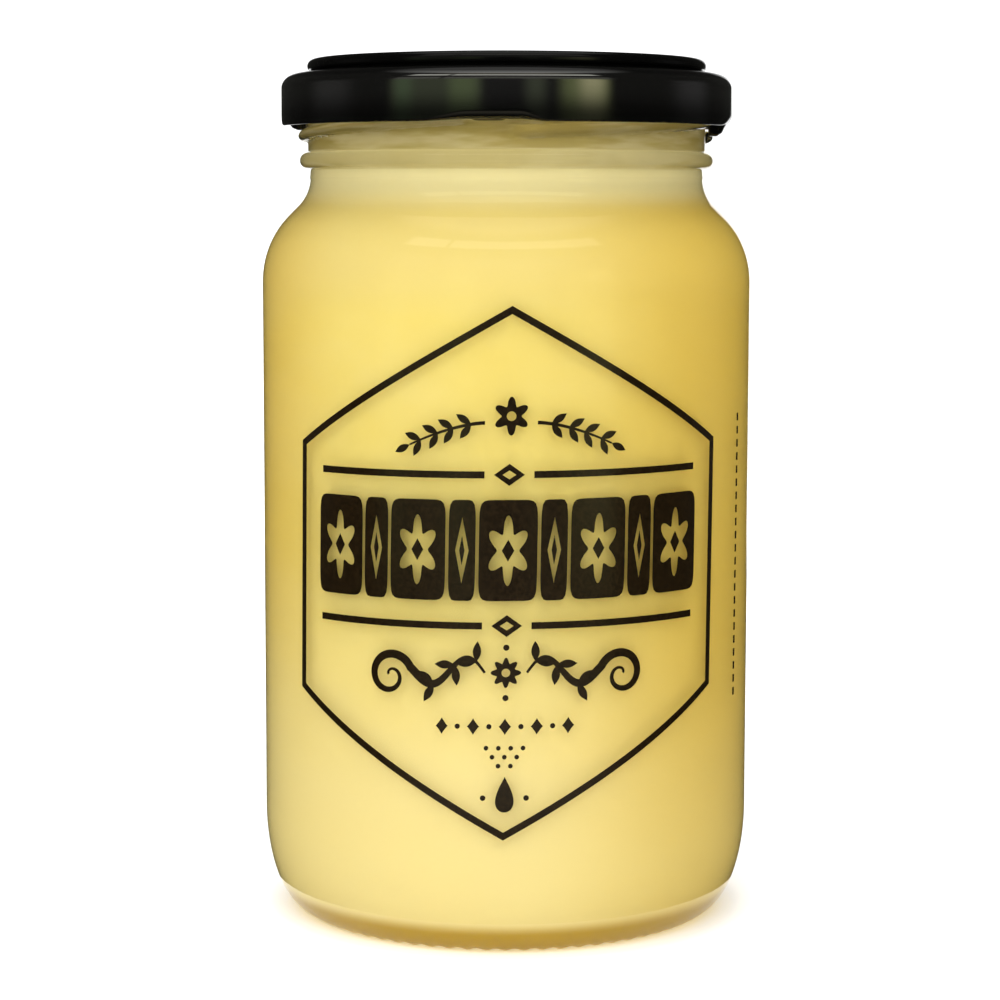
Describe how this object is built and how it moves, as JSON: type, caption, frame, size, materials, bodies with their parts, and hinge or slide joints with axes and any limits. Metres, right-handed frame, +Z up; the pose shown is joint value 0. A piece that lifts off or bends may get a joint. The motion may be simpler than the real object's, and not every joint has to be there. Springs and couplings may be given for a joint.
{
  "type": "honey jar",
  "caption": "Round clear glass jar of pale creamed honey, closed by a black twist-off metal lid, with a dark hexagon design printed on its front.",
  "frame": {"origin": "middle of the foot ring, where the jar stands", "axes": "+Z up along the jar's axis; the printed front faces -Y, and +X is on its right"},
  "size_m": [0.072, 0.072, 0.1255],
  "materials": {
    "clear_glass": "clear, smooth and glossy soda-lime glass",
    "creamed_honey": "opaque pale golden creamed honey, finely crystallised, seen through glass",
    "black_lacquer": "glossy black lacquer on tinplate"
  },
  "bodies": {
    "root": {"glass_jar": "clear_glass", "honey": "creamed_honey", "lid": "black_lacquer"}
  },
  "joints": []
}
